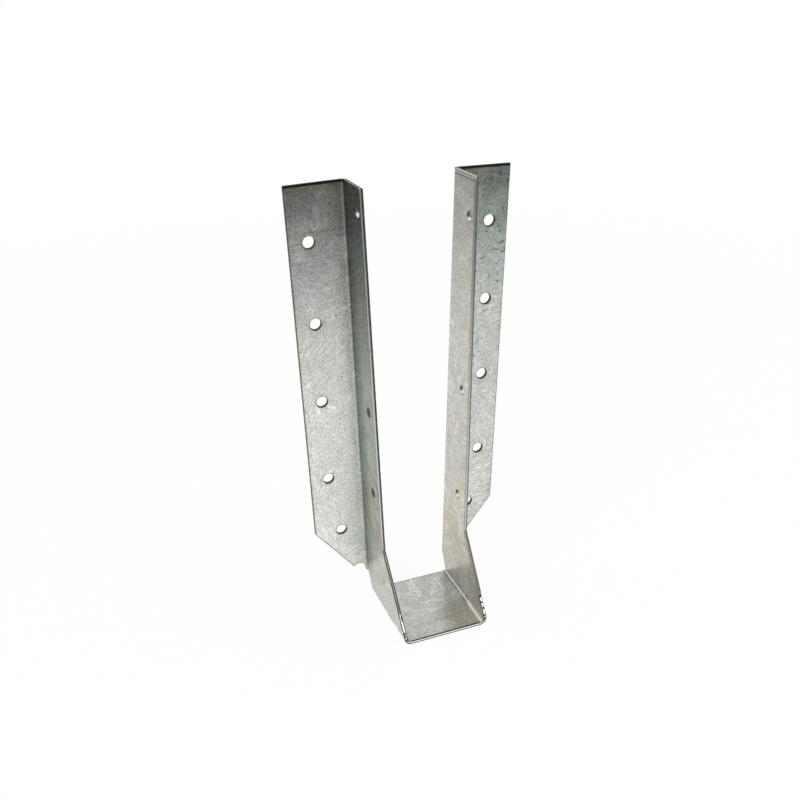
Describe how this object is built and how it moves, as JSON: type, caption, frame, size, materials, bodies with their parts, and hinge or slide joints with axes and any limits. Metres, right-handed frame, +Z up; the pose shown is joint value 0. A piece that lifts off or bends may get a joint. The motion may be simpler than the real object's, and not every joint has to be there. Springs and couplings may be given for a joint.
{
  "type": "joist hanger",
  "caption": "Face-mount joist hanger folded from one galvanised sheet: open-topped U with a seat, two tall legs tapering at the knee, and a nailing flange along each leg.",
  "frame": {"origin": "on the underside of the seat, at the centre of the outline seen from above", "axes": "+X along the header to the right, +Y towards the header, +Z up"},
  "size_m": [0.102, 0.0524, 0.2063],
  "materials": {
    "galvanised_steel": "hot-dip galvanised sheet with a fine spangle, slightly worn and stained"
  },
  "bodies": {
    "root": {"hanger": "galvanised_steel"}
  },
  "joints": []
}
